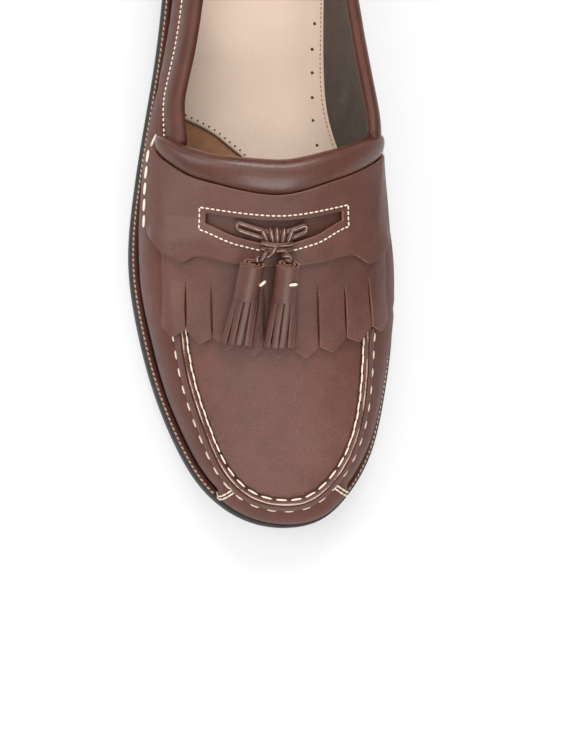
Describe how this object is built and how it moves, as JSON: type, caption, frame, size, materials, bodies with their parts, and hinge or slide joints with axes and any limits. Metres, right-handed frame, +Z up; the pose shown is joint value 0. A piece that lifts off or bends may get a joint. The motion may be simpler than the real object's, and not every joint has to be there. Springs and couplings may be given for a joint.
{
  "type": "kiltie loafer",
  "caption": "Brown leather kiltie loafer for the right foot, with a saddle band, fringe, lace bow and tassels on a black rubber sole.",
  "frame": {"origin": "on the floor, in the middle of the shoe's length and width", "axes": "+Y towards the heel, +X towards the big-toe side, +Z up"},
  "size_m": [0.1118, 0.302, 0.086],
  "materials": {
    "upper_leather": "satin",
    "dark_leather": "satin",
    "welt_leather": "satin",
    "footbed_leather": "matte",
    "sole_rubber": "matte"
  },
  "bodies": {
    "root": {"outsole": "sole_rubber", "heel": "sole_rubber", "welt": "welt_leather", "insole": "footbed_leather", "upper": "upper_leather", "apron_seam": "upper_leather", "collar_binding": "dark_leather", "tongue": "dark_leather", "saddle_band": "upper_leather", "kiltie": "upper_leather", "bow": "upper_leather", "tassel_lateral": "upper_leather", "tassel_medial": "upper_leather"}
  },
  "joints": []
}
